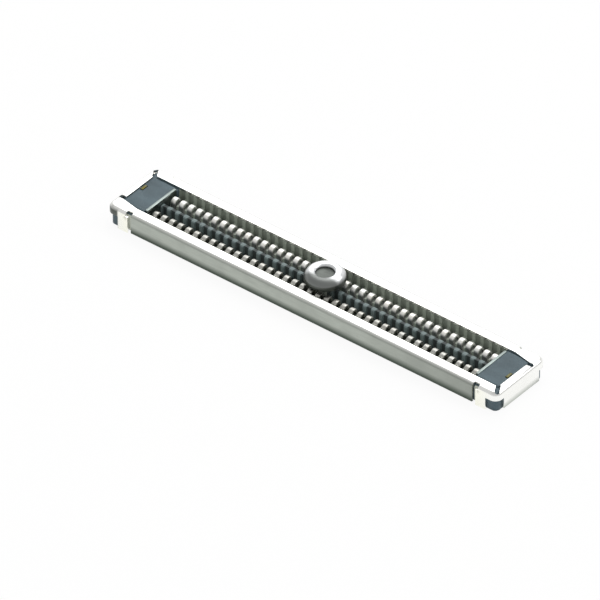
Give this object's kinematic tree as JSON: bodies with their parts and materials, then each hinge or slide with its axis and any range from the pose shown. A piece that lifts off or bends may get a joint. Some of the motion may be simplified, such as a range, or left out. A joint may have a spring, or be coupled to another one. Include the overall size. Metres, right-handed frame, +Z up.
{
  "type": "shielded two-row pcb connector",
  "caption": "Slim surface-mount board-to-board socket: slate moulded housing in a bright folded shell, two rows of sprung contacts, end fittings and a round pick-up button.",
  "frame": {"origin": "on the solder plane, under the middle of the connector", "axes": "X runs along the two contact rows; -Y is the front side, which the picture shows; Z is up, away from the board, in the mating direction"},
  "size_m": [0.0238, 0.0038, 0.0017],
  "materials": {
    "housing": "moulded glass-filled liquid crystal polymer, slate grey",
    "shell": "bright nickel over folded copper-alloy sheet",
    "contacts": "formed phosphor bronze, pale gold flash over nickel",
    "fittings": "pale gold flash over nickel",
    "button": "turned and bright plated"
  },
  "bodies": {
    "root": {"housing": "housing", "shell": "shell", "fitting_left": "fittings", "fitting_right": "fittings", "pickup_button": "button", "contacts_front_01": "contacts", "contacts_front_02": "contacts", "contacts_front_03": "contacts", "contacts_front_04": "contacts", "contacts_front_05": "contacts", "contacts_front_06": "contacts", "contacts_front_07": "contacts", "contacts_front_08": "contacts", "contacts_front_09": "contacts", "contacts_front_10": "contacts", "contacts_front_11": "contacts", "contacts_front_12": "contacts", "contacts_front_13": "contacts", "contacts_front_14": "contacts", "contacts_front_15": "contacts", "contacts_front_16": "contacts", "contacts_front_17": "contacts", "contacts_front_18": "contacts", "contacts_front_19": "contacts", "contacts_front_20": "contacts", "contacts_rear_01": "contacts", "contacts_rear_02": "contacts", "contacts_rear_03": "contacts", "contacts_rear_04": "contacts", "contacts_rear_05": "contacts", "contacts_rear_06": "contacts", "contacts_rear_07": "contacts", "contacts_rear_08": "contacts", "contacts_rear_09": "contacts", "contacts_rear_10": "contacts", "contacts_rear_11": "contacts", "contacts_rear_12": "contacts", "contacts_rear_13": "contacts", "contacts_rear_14": "contacts", "contacts_rear_15": "contacts", "contacts_rear_16": "contacts", "contacts_rear_17": "contacts", "contacts_rear_18": "contacts", "contacts_rear_19": "contacts", "contacts_rear_20": "contacts"}
  },
  "joints": []
}
